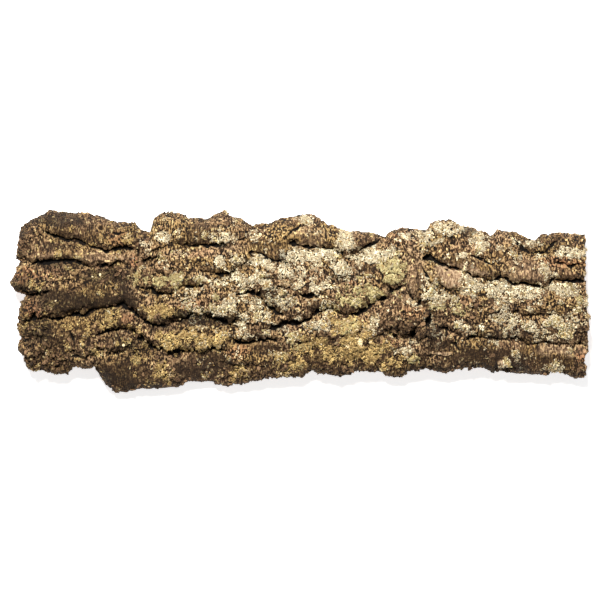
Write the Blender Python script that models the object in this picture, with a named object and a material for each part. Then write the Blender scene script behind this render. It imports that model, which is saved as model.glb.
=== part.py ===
"""A slab of virgin cork bark, lying bark side up on its two long edges.

X runs along the slab from the broken end to the sawn end, Y across it, and Z up out of the bark.
"""

import bmesh
import bpy
import numpy as np
from mathutils import Matrix

# Driving dimensions, in metres.
LENGTH = 0.600
THINNEST = 0.017
RIDGE_HEIGHT = 0.017
ARCH_RISE = 0.023

# Half the width of the arch and the place of its middle, at the broken end and at the sawn end.
HALF_WIDTH_AT_ENDS = (0.0865, 0.0730)
MIDDLE_AT_ENDS = (0.0010, -0.0030)
BELLY_WIDTH = 0.87

# A fissure's reach: the gentle side is the tread of the ridge below it, the steep side the ridge above.
TREAD_REACH = 0.019
LIP_REACH = 0.0150
TREAD_ROUNDNESS = 1.8
LIP_ROUNDNESS = 2.0
FISSURE_FLOOR = 0.0009
FISSURE_TAPER = 0.012
FISSURE_WANDER = (0.011, 0.0016)
LEAN = 0.30

# The ridges lean over their fissures, so a fissure lies this much further back than its dark line shows.
HIDDEN_BY_LIP = 0.0018

# How fast the wiggles of an edge die out away from it, and how long they are along it.
END_FADE = 15
SIDE_FADE = 6
WIGGLE_LENGTH = 0.030
OUTLINE_ROUNDS = 4

# Seeded unevenness: size of a bump and its height.
BROAD_BUMPS = (0.042, 0.0026)
SMALL_BUMPS = (0.014, 0.0016)
BELLY_BUMPS = (0.060, 0.0014)
EDGE_BUMPS = (0.011, 0.0016)
SEED = 11

# Cells of the starting grid along X, Y and Z, and the triangles kept on the finished slab.
CELLS = (280, 96, 5)
KEPT_TRIANGLES = 9600

# Places on the photograph, in pixels: the slab's length, its middle, and the points read along it.
PHOTO_LENGTH = 577
PHOTO_MIDDLE = (299.5, 301.2)

BACK_EDGE = [
    (22, 226), (34, 218), (47, 210), (60, 213), (84, 213), (104, 217), (117, 222), (131, 223), (141, 230),
    (150, 232), (153, 217), (163, 213), (178, 213), (190, 218), (207, 218), (213, 214), (224, 210),
    (231, 216), (252, 225), (270, 224), (281, 219), (297, 216), (314, 215), (328, 225), (346, 231),
    (374, 234), (385, 238), (391, 232), (404, 229), (426, 230), (431, 224), (443, 220), (452, 221),
    (464, 227), (483, 231), (491, 238), (498, 231), (512, 232), (534, 240), (541, 236), (562, 233),
    (586, 236),
]
FRONT_EDGE = [
    (28, 370), (38, 371), (55, 374), (67, 376), (72, 367), (84, 368), (95, 366), (98, 374), (104, 384),
    (111, 392), (126, 393), (142, 388), (158, 388), (181, 386), (186, 381), (212, 382), (215, 386),
    (236, 384), (241, 386), (251, 380), (280, 378), (302, 378), (309, 371), (322, 374), (336, 377),
    (350, 375), (354, 371), (380, 371), (389, 377), (402, 377), (408, 372), (430, 371), (444, 373),
    (471, 369), (480, 367), (497, 372), (530, 374), (548, 376), (553, 371), (570, 376), (583, 378),
]
BROKEN_END = [
    (28, 370), (24, 358), (18, 349), (20, 343), (26, 340), (19, 333), (19, 325), (20, 310), (25, 301),
    (28, 295), (17, 292), (11, 283), (14, 278), (17, 268), (21, 262), (17, 255), (18, 240), (22, 226),
]
SAWN_END = [(583, 378), (586, 370), (583, 355), (588, 349), (585, 304), (584, 280), (585, 250), (586, 236)]

DEEP_FISSURES = [
    [(42, 228), (50, 235), (62, 239), (80, 243), (93, 248), (104, 251), (120, 249), (136, 250)],
    [(8, 262), (20, 261), (33, 263), (50, 263), (76, 262), (90, 268), (105, 267), (118, 264), (130, 263)],
    [(8, 296), (28, 295), (41, 294), (50, 291)],
    [
        (8, 326), (25, 323), (38, 318), (60, 319), (72, 316), (87, 313), (94, 309), (110, 307), (125, 304),
        (135, 311), (145, 321), (152, 326), (165, 326), (180, 321), (195, 313), (203, 313), (210, 319),
        (230, 323), (238, 320),
    ],
    [(98, 333), (113, 330), (130, 330), (142, 340), (157, 349), (170, 352), (200, 350), (227, 349)],
    [(171, 242), (188, 247), (212, 246), (222, 246), (234, 249)],
    [(140, 285), (152, 290), (160, 295), (173, 293), (182, 288), (200, 288), (206, 284)],
    [(201, 269), (213, 273), (228, 277), (237, 270), (243, 264), (250, 257)],
    [(236, 292), (250, 291), (258, 294), (264, 302), (270, 308), (276, 314), (283, 315)],
    [(230, 335), (238, 342), (254, 342), (270, 339), (278, 340)],
    [
        (288, 243), (297, 247), (322, 248), (340, 253), (346, 259), (352, 256), (362, 250), (374, 243),
        (379, 239),
    ],
    [
        (268, 330), (284, 325), (300, 323), (309, 319), (315, 312), (330, 309), (338, 313), (352, 316),
        (360, 315), (368, 309), (377, 302), (387, 298), (391, 289), (404, 286),
    ],
    [
        (421, 259), (430, 259), (448, 267), (466, 273), (480, 279), (490, 281), (500, 277), (510, 283),
        (530, 286), (544, 287), (551, 280), (563, 282), (583, 281), (600, 281),
    ],
    [(406, 291), (414, 299), (423, 306), (429, 317), (427, 326)],
]
MIDDLING_FISSURES = [
    [(460, 339), (474, 338), (500, 336), (516, 336), (526, 343), (541, 342), (570, 343), (600, 341)],
    [(73, 355), (88, 353), (100, 348), (118, 351), (137, 350)],
    [(8, 342), (25, 340), (44, 333), (50, 328)],
    [(137, 236), (138, 250), (139, 262), (150, 259), (162, 257)],
    [(150, 250), (158, 247), (170, 243)],
    [(153, 271), (168, 276), (180, 270)],
    [(250, 252), (262, 254), (274, 260), (291, 262)],
    [(235, 238), (244, 239), (252, 234)],
    [(293, 295), (306, 294), (315, 295)],
    [(328, 278), (337, 280), (342, 287)],
    [(436, 282), (446, 290), (461, 290)],
    [(432, 324), (446, 330), (461, 334)],
    [(383, 332), (394, 327), (406, 330), (413, 336), (430, 338)],
    [(431, 338), (432, 349), (428, 360)],
    [(344, 362), (349, 358), (355, 357)],
    [(298, 345), (308, 341), (320, 334)],
    [(470, 252), (480, 259), (492, 264)],
    [(546, 262), (560, 262), (572, 265), (586, 262), (600, 262)],
    [(508, 311), (528, 314), (550, 313)],
    [(498, 366), (508, 368)],
    [(27, 222), (29, 236), (29, 250), (32, 262)],
    [(513, 237), (519, 246), (530, 254), (541, 252), (552, 243), (561, 236)],
]
SHALLOW_FISSURES = [
    [(64, 281), (78, 276), (96, 279)],
    [(113, 231), (120, 232), (133, 230)],
    [(170, 303), (184, 301), (198, 296)],
    [(262, 275), (280, 278), (287, 278)],
    [(325, 226), (327, 241)],
    [(286, 235), (292, 227), (305, 223)],
    [(413, 246), (419, 243)],
    [(420, 262), (431, 281), (440, 290)],
    [(497, 266), (499, 277)],
    [(550, 262), (549, 280)],
    [(38, 226), (40, 236), (47, 246)],
    [(450, 343), (460, 349)],
    [(72, 329), (76, 345)],
    [(50, 365), (62, 367)],
]

# Swellings and sunken faces: place and half-sizes in pixels, and height in metres.
SWELLINGS = [
    ((155, 240), (15, 10), 0.004),
    ((240, 352), (13, 7), 0.004),
    ((38, 282), (22, 11), 0.003),
    ((300, 232), (18, 9), 0.003),
    ((402, 312), (16, 16), 0.003),
    ((524, 272), (26, 10), 0.004),
    ((470, 264), (24, 9), 0.003),
    ((204, 366), (25, 15), -0.008),
    ((265, 348), (17, 6), -0.005),
    ((402, 334), (12, 4), -0.004),
    ((112, 273), (18, 7), -0.004),
    ((47, 357), (20, 12), -0.002),
    ((36, 294), (12, 4), -0.005),
    ((195, 318), (38, 5), -0.004),
]

# Each edge and how far the bark rounds over there.
EDGES = ((BROKEN_END, 0.013), (SAWN_END, 0.0015), (FRONT_EDGE, 0.014), (BACK_EDGE, 0.013))

CORK_BROWN = (0.225, 0.150, 0.085, 1.0)


def clear_scene():
    for obj in list(bpy.data.objects):
        bpy.data.objects.remove(obj, do_unlink=True)


def new_collection(name):
    collection = bpy.data.collections.new(name)
    bpy.context.scene.collection.children.link(collection)
    return collection


def from_photo(points):
    """Pixels of the photograph as metres from the slab's middle."""
    metres_a_pixel = LENGTH / PHOTO_LENGTH
    across = np.array(points, float) - PHOTO_MIDDLE
    return across * (metres_a_pixel, -metres_a_pixel)


def bumps(x, y, size, seed):
    """Smooth seeded unevenness between -1 and 1, about one bump for each size in both directions."""
    table = np.random.default_rng(seed).uniform(-1, 1, (64, 64))
    column, row = np.floor(x / size).astype(int), np.floor(y / size).astype(int)
    along, across = x / size - column, y / size - row
    along, across = along * along * (3 - 2 * along), across * across * (3 - 2 * across)
    near = table[column % 64, row % 64] * (1 - along) + table[(column + 1) % 64, row % 64] * along
    far = table[column % 64, (row + 1) % 64] * (1 - along) + table[(column + 1) % 64, (row + 1) % 64] * along
    return near * (1 - across) + far * across


def rounded_fall(share, roundness):
    """A profile that falls from 1 at share 0 to 0 at share 1, with a rounder shoulder for more roundness."""
    left = 1 - np.clip(share, 0, 1)
    return 1 - (1 - left**roundness) ** (1 / roundness)


def along_line(x, y, line):
    """For each stretch of a line: how far the points are from it, how far above, and how far from its tips."""
    run = np.concatenate([[0], np.cumsum(np.linalg.norm(np.diff(line, axis=0), axis=1))])
    for number in range(len(line) - 1):
        start, step = line[number], line[number + 1] - line[number]
        place = ((x - start[0]) * step[0] + (y - start[1]) * step[1]) / (step @ step)
        place = np.clip(place, 0, 1)
        off_x = x - start[0] - place * step[0]
        off_y = y - start[1] - place * step[1]
        at = run[number] + place * (run[number + 1] - run[number])
        yield np.hypot(off_x, off_y), off_y, np.minimum(at, run[-1] - at)


def carve_one(x, y, points, strength, depth):
    """Deepens depth along one fissure, which is gentle on its tread and steep under the lip above it."""
    line = from_photo(points)
    reach = TREAD_REACH * strength
    low, high = line.min(axis=0) - reach, line.max(axis=0) + reach
    near = np.flatnonzero((x > low[0]) & (x < high[0]) & (y > low[1]) & (y < high[1]))
    for distance, above, from_tip in along_line(x[near], y[near], line):
        distance = np.hypot(distance, FISSURE_FLOOR)
        lip_side = 0.5 + 0.5 * above / distance
        widths = (TREAD_REACH + (LIP_REACH - TREAD_REACH) * lip_side) * strength
        roundness = TREAD_ROUNDNESS + (LIP_ROUNDNESS - TREAD_ROUNDNESS) * lip_side
        tapered = strength * np.clip(0.35 + 0.65 * from_tip / FISSURE_TAPER, 0, 1)
        depth[near] = np.maximum(depth[near], tapered * rounded_fall(distance / widths, roundness))


def wandering(x, y):
    """The points with a seeded stray, which makes the fissures wander, and moved back by what the lips hide."""
    size, wander = FISSURE_WANDER
    stray_x = wander * bumps(x, y, size, SEED + 4)
    stray_y = wander * bumps(x, y, size, SEED + 5)
    return x + stray_x, y + stray_y - HIDDEN_BY_LIP


def fissure_depth(x, y):
    """How deep the fissures cut at each point, from 0 on a ridge to 1 at the bottom of a deep fissure."""
    depth = np.zeros_like(x)
    x, y = wandering(x, y)
    for strength, fissures in ((1.0, DEEP_FISSURES), (0.62, MIDDLING_FISSURES), (0.38, SHALLOW_FISSURES)):
        for points in fissures:
            carve_one(x, y, points, strength, depth)
    return depth


def swellings(x, y):
    total = np.zeros_like(x)
    for place, half_sizes, height in SWELLINGS:
        centre = from_photo([place])[0]
        half = np.array(half_sizes) * LENGTH / PHOTO_LENGTH
        away = ((x - centre[0]) / half[0]) ** 2 + ((y - centre[1]) / half[1]) ** 2
        total += height * np.exp(-(away**1.5))
    return total


def edge_run(at, line, axis):
    """Where an edge lies at each place along it: its smooth run, and how far the edge is from that run."""
    order = slice(None) if line[-1][axis] > line[0][axis] else slice(None, None, -1)
    along, across = line[order, axis], line[order, 1 - axis]
    exact = np.interp(at, along, across)
    shifts = np.linspace(-WIGGLE_LENGTH, WIGGLE_LENGTH, 9)
    smooth = np.mean([np.interp(at + shift, along, across) for shift in shifts], axis=0)
    return smooth, exact - smooth


def outline_point(along, across):
    """The plan of the slab, from shares of its length and width: a grid stretched between its four edges."""
    front, back = from_photo(FRONT_EDGE), from_photo(BACK_EDGE)
    broken, sawn = from_photo(BROKEN_END), from_photo(SAWN_END)
    first_x = (front[0][0] + back[0][0]) / 2
    last_x = (front[-1][0] + back[-1][0]) / 2
    straight_x = first_x + along * (last_x - first_x)
    x = straight_x
    # The edges cross at the corners, so the place along one pair follows from the other pair in a few rounds.
    for _ in range(OUTLINE_ROUNDS):
        front_y, front_wiggle = edge_run(x, front, 0)
        back_y, back_wiggle = edge_run(x, back, 0)
        y = front_y * (1 - across) + back_y * across
        y += front_wiggle * (1 - across) ** SIDE_FADE + back_wiggle * across**SIDE_FADE
        x = straight_x + (np.interp(y, *broken.T[::-1]) - first_x) * (1 - along) ** END_FADE
        x += (np.interp(y, *sawn.T[::-1]) - last_x) * along**END_FADE
    return x, y


def arch(x, y):
    """The curve that the trunk gives the slab: ARCH_RISE along the middle and 0 at the long edges."""
    share = np.clip(x / LENGTH + 0.5, 0, 1)
    half_width = np.interp(share, (0, 1), HALF_WIDTH_AT_ENDS)
    middle = np.interp(share, (0, 1), MIDDLE_AT_ENDS)
    return ARCH_RISE * (1 - ((y - middle) / half_width) ** 2)


def relief(x, y):
    """The height of the bark above the bottom of its fissures, with every edge rounded over."""
    height = RIDGE_HEIGHT * (1 - fissure_depth(x, y)) + swellings(x, y)
    for seed, (size, bump) in enumerate((BROAD_BUMPS, SMALL_BUMPS), SEED):
        height += bump * bumps(x, y, size, seed)
    height = np.maximum(height, 0)
    for points, reach in EDGES:
        gap = np.min([distance for distance, _, _ in along_line(x, y, from_photo(points))], axis=0)
        height *= 1 - rounded_fall(gap / reach, 2)
    return height


def slab_points(share):
    """Moves points of a unit box onto the slab: shares of its length, width and thickness become metres."""
    along, across, up = share.T
    x, y = outline_point(along, across)
    height = relief(x, y)
    belly = arch(x, y) + BELLY_BUMPS[1] * bumps(x, y, BELLY_BUMPS[0], SEED + 2)
    z = belly + up * (THINNEST + height)
    middle = np.interp(np.clip(x / LENGTH + 0.5, 0, 1), (0, 1), MIDDLE_AT_ENDS)
    y = middle + (y - middle) * (BELLY_WIDTH + (1 - BELLY_WIDTH) * up) - LEAN * height * up
    rough = EDGE_BUMPS[1] * bumps(x + 3 * z, y + 5 * z, EDGE_BUMPS[0], SEED + 3)
    rough *= 4 * up * (1 - up)
    y += rough * np.where(across == 0, -1, np.where(across == 1, 1, 0))
    x += rough * np.where(along == 0, -1, 0)
    return np.column_stack([x, y, z])


def gridded_box(cells):
    """A box from 0 to 1 each way whose faces are cut into a grid."""
    box = bmesh.new()
    bmesh.ops.create_cube(box, size=1, matrix=Matrix.Translation((0.5, 0.5, 0.5)))
    for axis, count in enumerate(cells):
        along = [edge for edge in box.edges if abs((edge.verts[1].co - edge.verts[0].co)[axis]) > 0.5]
        bmesh.ops.subdivide_edges(box, edges=along, cuts=count - 1, use_grid_fill=True)
    bmesh.ops.triangulate(box, faces=box.faces)
    mesh = bpy.data.meshes.new("cork_bark_slab")
    box.to_mesh(mesh)
    box.free()
    return mesh


def cork_material():
    material = bpy.data.materials.new("cork_bark")
    material.use_nodes = True
    shader = material.node_tree.nodes["Principled BSDF"]
    shader.inputs["Base Color"].default_value = CORK_BROWN
    shader.inputs["Roughness"].default_value = 0.92
    shader.inputs["Metallic"].default_value = 0.0
    return material


def ground_cutter(collection):
    """A block with its top at Z 0, which flattens the spots that the slab lies on."""
    depth = 0.05
    bpy.ops.mesh.primitive_cube_add(size=1, location=(0, 0, -depth / 2))
    cutter = bpy.context.object
    cutter.name = "ground_cutter"
    cutter.scale = (LENGTH * 1.2, LENGTH, depth)
    cutter.hide_render = True
    cutter.display_type = "WIRE"
    for home in list(cutter.users_collection):
        home.objects.unlink(cutter)
    collection.objects.link(cutter)
    return cutter


def centre_on_origin(slab):
    """Puts the middle of the finished slab's length and width over the origin."""
    bpy.context.view_layer.update()
    graph = bpy.context.evaluated_depsgraph_get()
    corners = np.array(slab.evaluated_get(graph).bound_box)
    middle = (corners.min(axis=0) + corners.max(axis=0)) / 2
    slab.location = (-middle[0], -middle[1], 0)


def make_slab(collection, cutter):
    mesh = gridded_box(CELLS)
    share = np.empty(len(mesh.vertices) * 3, np.float32)
    mesh.vertices.foreach_get("co", share)
    mesh.vertices.foreach_set("co", slab_points(share.reshape(-1, 3).astype(float)).ravel())
    slab = bpy.data.objects.new("cork_bark_slab", mesh)
    collection.objects.link(slab)
    mesh.materials.append(cork_material())
    mesh.shade_smooth()

    fewer = slab.modifiers.new("fewer_faces", "DECIMATE")
    fewer.ratio = KEPT_TRIANGLES / len(mesh.polygons)
    flat = slab.modifiers.new("flat_spots", "BOOLEAN")
    flat.operation = "DIFFERENCE"
    flat.object = cutter
    centre_on_origin(slab)
    return slab


def main():
    clear_scene()
    parts = new_collection("cork_bark_slab")
    cutters = new_collection("cutters")
    make_slab(parts, ground_cutter(cutters))


main()
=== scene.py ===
"""The looks of the cork bark slab: its fine bark, its lichens, a floor, soft light and the camera.

X runs along the slab, Y across it and Z up out of the bark, in metres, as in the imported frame.
"""

import bmesh
import bpy
import numpy as np
from mathutils import Matrix, Vector


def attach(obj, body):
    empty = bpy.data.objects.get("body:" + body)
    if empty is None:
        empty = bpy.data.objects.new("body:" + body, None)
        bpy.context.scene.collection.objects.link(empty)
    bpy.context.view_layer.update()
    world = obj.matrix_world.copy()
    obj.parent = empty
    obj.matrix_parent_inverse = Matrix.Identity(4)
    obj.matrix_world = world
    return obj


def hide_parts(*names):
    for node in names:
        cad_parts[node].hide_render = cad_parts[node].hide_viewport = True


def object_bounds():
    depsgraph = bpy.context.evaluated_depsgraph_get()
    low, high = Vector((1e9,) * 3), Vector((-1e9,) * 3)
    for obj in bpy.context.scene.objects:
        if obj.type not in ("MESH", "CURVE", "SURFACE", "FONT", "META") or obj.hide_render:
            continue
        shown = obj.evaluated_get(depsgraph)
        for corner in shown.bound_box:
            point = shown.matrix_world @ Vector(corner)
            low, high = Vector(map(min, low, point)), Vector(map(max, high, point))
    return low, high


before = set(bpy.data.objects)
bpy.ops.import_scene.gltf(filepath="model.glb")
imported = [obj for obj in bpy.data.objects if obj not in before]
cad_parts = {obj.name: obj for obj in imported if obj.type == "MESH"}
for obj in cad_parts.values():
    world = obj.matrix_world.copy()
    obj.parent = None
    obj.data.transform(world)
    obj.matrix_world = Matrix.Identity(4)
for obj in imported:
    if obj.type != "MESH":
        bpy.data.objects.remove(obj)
CAD_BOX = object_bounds()

# Driving dimensions, in metres.
LENGTH = 0.600
THINNEST = 0.017
RIDGE_HEIGHT = 0.017
ARCH_RISE = 0.023

# Half the width of the arch and the place of its middle, at the broken end and at the sawn end.
HALF_WIDTH_AT_ENDS = (0.0865, 0.0730)
MIDDLE_AT_ENDS = (0.0010, -0.0030)
BELLY_WIDTH = 0.87

# A fissure's reach: the gentle side is the tread of the ridge below it, the steep side the ridge above.
TREAD_REACH = 0.019
LIP_REACH = 0.0150
TREAD_ROUNDNESS = 1.8
LIP_ROUNDNESS = 2.0
FISSURE_FLOOR = 0.0009
FISSURE_TAPER = 0.012
FISSURE_WANDER = (0.011, 0.0016)
LEAN = 0.30

# The ridges lean over their fissures, so a fissure lies this much further back than its dark line shows.
HIDDEN_BY_LIP = 0.0018

# How fast the wiggles of an edge die out away from it, and how long they are along it.
END_FADE = 15
SIDE_FADE = 6
WIGGLE_LENGTH = 0.030
OUTLINE_ROUNDS = 4

# Seeded unevenness: size of a bump and its height.
BROAD_BUMPS = (0.042, 0.0026)
SMALL_BUMPS = (0.014, 0.0016)
BELLY_BUMPS = (0.060, 0.0014)
EDGE_BUMPS = (0.011, 0.0016)
SEED = 11

# Places on the photograph, in pixels: the slab's length, its middle, and the points read along it.
PHOTO_LENGTH = 577
PHOTO_MIDDLE = (299.5, 301.2)

BACK_EDGE = [
    (22, 226), (34, 218), (47, 210), (60, 213), (84, 213), (104, 217), (117, 222), (131, 223), (141, 230),
    (150, 232), (153, 217), (163, 213), (178, 213), (190, 218), (207, 218), (213, 214), (224, 210),
    (231, 216), (252, 225), (270, 224), (281, 219), (297, 216), (314, 215), (328, 225), (346, 231),
    (374, 234), (385, 238), (391, 232), (404, 229), (426, 230), (431, 224), (443, 220), (452, 221),
    (464, 227), (483, 231), (491, 238), (498, 231), (512, 232), (534, 240), (541, 236), (562, 233),
    (586, 236),
]
FRONT_EDGE = [
    (28, 370), (38, 371), (55, 374), (67, 376), (72, 367), (84, 368), (95, 366), (98, 374), (104, 384),
    (111, 392), (126, 393), (142, 388), (158, 388), (181, 386), (186, 381), (212, 382), (215, 386),
    (236, 384), (241, 386), (251, 380), (280, 378), (302, 378), (309, 371), (322, 374), (336, 377),
    (350, 375), (354, 371), (380, 371), (389, 377), (402, 377), (408, 372), (430, 371), (444, 373),
    (471, 369), (480, 367), (497, 372), (530, 374), (548, 376), (553, 371), (570, 376), (583, 378),
]
BROKEN_END = [
    (28, 370), (24, 358), (18, 349), (20, 343), (26, 340), (19, 333), (19, 325), (20, 310), (25, 301),
    (28, 295), (17, 292), (11, 283), (14, 278), (17, 268), (21, 262), (17, 255), (18, 240), (22, 226),
]
SAWN_END = [(583, 378), (586, 370), (583, 355), (588, 349), (585, 304), (584, 280), (585, 250), (586, 236)]

DEEP_FISSURES = [
    [(42, 228), (50, 235), (62, 239), (80, 243), (93, 248), (104, 251), (120, 249), (136, 250)],
    [(8, 262), (20, 261), (33, 263), (50, 263), (76, 262), (90, 268), (105, 267), (118, 264), (130, 263)],
    [(8, 296), (28, 295), (41, 294), (50, 291)],
    [
        (8, 326), (25, 323), (38, 318), (60, 319), (72, 316), (87, 313), (94, 309), (110, 307), (125, 304),
        (135, 311), (145, 321), (152, 326), (165, 326), (180, 321), (195, 313), (203, 313), (210, 319),
        (230, 323), (238, 320),
    ],
    [(98, 333), (113, 330), (130, 330), (142, 340), (157, 349), (170, 352), (200, 350), (227, 349)],
    [(171, 242), (188, 247), (212, 246), (222, 246), (234, 249)],
    [(140, 285), (152, 290), (160, 295), (173, 293), (182, 288), (200, 288), (206, 284)],
    [(201, 269), (213, 273), (228, 277), (237, 270), (243, 264), (250, 257)],
    [(236, 292), (250, 291), (258, 294), (264, 302), (270, 308), (276, 314), (283, 315)],
    [(230, 335), (238, 342), (254, 342), (270, 339), (278, 340)],
    [
        (288, 243), (297, 247), (322, 248), (340, 253), (346, 259), (352, 256), (362, 250), (374, 243),
        (379, 239),
    ],
    [
        (268, 330), (284, 325), (300, 323), (309, 319), (315, 312), (330, 309), (338, 313), (352, 316),
        (360, 315), (368, 309), (377, 302), (387, 298), (391, 289), (404, 286),
    ],
    [
        (421, 259), (430, 259), (448, 267), (466, 273), (480, 279), (490, 281), (500, 277), (510, 283),
        (530, 286), (544, 287), (551, 280), (563, 282), (583, 281), (600, 281),
    ],
    [(406, 291), (414, 299), (423, 306), (429, 317), (427, 326)],
]
MIDDLING_FISSURES = [
    [(460, 339), (474, 338), (500, 336), (516, 336), (526, 343), (541, 342), (570, 343), (600, 341)],
    [(73, 355), (88, 353), (100, 348), (118, 351), (137, 350)],
    [(8, 342), (25, 340), (44, 333), (50, 328)],
    [(137, 236), (138, 250), (139, 262), (150, 259), (162, 257)],
    [(150, 250), (158, 247), (170, 243)],
    [(153, 271), (168, 276), (180, 270)],
    [(250, 252), (262, 254), (274, 260), (291, 262)],
    [(235, 238), (244, 239), (252, 234)],
    [(293, 295), (306, 294), (315, 295)],
    [(328, 278), (337, 280), (342, 287)],
    [(436, 282), (446, 290), (461, 290)],
    [(432, 324), (446, 330), (461, 334)],
    [(383, 332), (394, 327), (406, 330), (413, 336), (430, 338)],
    [(431, 338), (432, 349), (428, 360)],
    [(344, 362), (349, 358), (355, 357)],
    [(298, 345), (308, 341), (320, 334)],
    [(470, 252), (480, 259), (492, 264)],
    [(546, 262), (560, 262), (572, 265), (586, 262), (600, 262)],
    [(508, 311), (528, 314), (550, 313)],
    [(498, 366), (508, 368)],
    [(27, 222), (29, 236), (29, 250), (32, 262)],
    [(513, 237), (519, 246), (530, 254), (541, 252), (552, 243), (561, 236)],
]
SHALLOW_FISSURES = [
    [(64, 281), (78, 276), (96, 279)],
    [(113, 231), (120, 232), (133, 230)],
    [(170, 303), (184, 301), (198, 296)],
    [(262, 275), (280, 278), (287, 278)],
    [(325, 226), (327, 241)],
    [(286, 235), (292, 227), (305, 223)],
    [(413, 246), (419, 243)],
    [(420, 262), (431, 281), (440, 290)],
    [(497, 266), (499, 277)],
    [(550, 262), (549, 280)],
    [(38, 226), (40, 236), (47, 246)],
    [(450, 343), (460, 349)],
    [(72, 329), (76, 345)],
    [(50, 365), (62, 367)],
]

# Swellings and sunken faces: place and half-sizes in pixels, and height in metres.
SWELLINGS = [
    ((155, 240), (15, 10), 0.004),
    ((240, 352), (13, 7), 0.004),
    ((38, 282), (22, 11), 0.003),
    ((300, 232), (18, 9), 0.003),
    ((402, 312), (16, 16), 0.003),
    ((524, 272), (26, 10), 0.004),
    ((470, 264), (24, 9), 0.003),
    ((204, 366), (25, 15), -0.008),
    ((265, 348), (17, 6), -0.005),
    ((402, 334), (12, 4), -0.004),
    ((112, 273), (18, 7), -0.004),
    ((47, 357), (20, 12), -0.002),
    ((36, 294), (12, 4), -0.005),
    ((195, 318), (38, 5), -0.004),
]

# Each edge and how far the bark rounds over there.
EDGES = ((BROKEN_END, 0.013), (SAWN_END, 0.0015), (FRONT_EDGE, 0.014), (BACK_EDGE, 0.013))

def from_photo(points):
    """Pixels of the photograph as metres from the slab's middle."""
    metres_a_pixel = LENGTH / PHOTO_LENGTH
    across = np.array(points, float) - PHOTO_MIDDLE
    return across * (metres_a_pixel, -metres_a_pixel)


def bumps(x, y, size, seed):
    """Smooth seeded unevenness between -1 and 1, about one bump for each size in both directions."""
    table = np.random.default_rng(seed).uniform(-1, 1, (64, 64))
    column, row = np.floor(x / size).astype(int), np.floor(y / size).astype(int)
    along, across = x / size - column, y / size - row
    along, across = along * along * (3 - 2 * along), across * across * (3 - 2 * across)
    near = table[column % 64, row % 64] * (1 - along) + table[(column + 1) % 64, row % 64] * along
    far = table[column % 64, (row + 1) % 64] * (1 - along) + table[(column + 1) % 64, (row + 1) % 64] * along
    return near * (1 - across) + far * across


def rounded_fall(share, roundness):
    """A profile that falls from 1 at share 0 to 0 at share 1, with a rounder shoulder for more roundness."""
    left = 1 - np.clip(share, 0, 1)
    return 1 - (1 - left**roundness) ** (1 / roundness)


def along_line(x, y, line):
    """For each stretch of a line: how far the points are from it, how far above, and how far from its tips."""
    run = np.concatenate([[0], np.cumsum(np.linalg.norm(np.diff(line, axis=0), axis=1))])
    for number in range(len(line) - 1):
        start, step = line[number], line[number + 1] - line[number]
        place = ((x - start[0]) * step[0] + (y - start[1]) * step[1]) / (step @ step)
        place = np.clip(place, 0, 1)
        off_x = x - start[0] - place * step[0]
        off_y = y - start[1] - place * step[1]
        at = run[number] + place * (run[number + 1] - run[number])
        yield np.hypot(off_x, off_y), off_y, np.minimum(at, run[-1] - at)


def carve_one(x, y, points, strength, depth):
    """Deepens depth along one fissure, which is gentle on its tread and steep under the lip above it."""
    line = from_photo(points)
    reach = TREAD_REACH * strength
    low, high = line.min(axis=0) - reach, line.max(axis=0) + reach
    near = np.flatnonzero((x > low[0]) & (x < high[0]) & (y > low[1]) & (y < high[1]))
    for distance, above, from_tip in along_line(x[near], y[near], line):
        distance = np.hypot(distance, FISSURE_FLOOR)
        lip_side = 0.5 + 0.5 * above / distance
        widths = (TREAD_REACH + (LIP_REACH - TREAD_REACH) * lip_side) * strength
        roundness = TREAD_ROUNDNESS + (LIP_ROUNDNESS - TREAD_ROUNDNESS) * lip_side
        tapered = strength * np.clip(0.35 + 0.65 * from_tip / FISSURE_TAPER, 0, 1)
        depth[near] = np.maximum(depth[near], tapered * rounded_fall(distance / widths, roundness))


def wandering(x, y):
    """The points with a seeded stray, which makes the fissures wander, and moved back by what the lips hide."""
    size, wander = FISSURE_WANDER
    stray_x = wander * bumps(x, y, size, SEED + 4)
    stray_y = wander * bumps(x, y, size, SEED + 5)
    return x + stray_x, y + stray_y - HIDDEN_BY_LIP


def fissure_depth(x, y):
    """How deep the fissures cut at each point, from 0 on a ridge to 1 at the bottom of a deep fissure."""
    depth = np.zeros_like(x)
    x, y = wandering(x, y)
    for strength, fissures in ((1.0, DEEP_FISSURES), (0.62, MIDDLING_FISSURES), (0.38, SHALLOW_FISSURES)):
        for points in fissures:
            carve_one(x, y, points, strength, depth)
    return depth


def swellings(x, y):
    total = np.zeros_like(x)
    for place, half_sizes, height in SWELLINGS:
        centre = from_photo([place])[0]
        half = np.array(half_sizes) * LENGTH / PHOTO_LENGTH
        away = ((x - centre[0]) / half[0]) ** 2 + ((y - centre[1]) / half[1]) ** 2
        total += height * np.exp(-(away**1.5))
    return total


def edge_run(at, line, axis):
    """Where an edge lies at each place along it: its smooth run, and how far the edge is from that run."""
    order = slice(None) if line[-1][axis] > line[0][axis] else slice(None, None, -1)
    along, across = line[order, axis], line[order, 1 - axis]
    exact = np.interp(at, along, across)
    shifts = np.linspace(-WIGGLE_LENGTH, WIGGLE_LENGTH, 9)
    smooth = np.mean([np.interp(at + shift, along, across) for shift in shifts], axis=0)
    return smooth, exact - smooth


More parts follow.
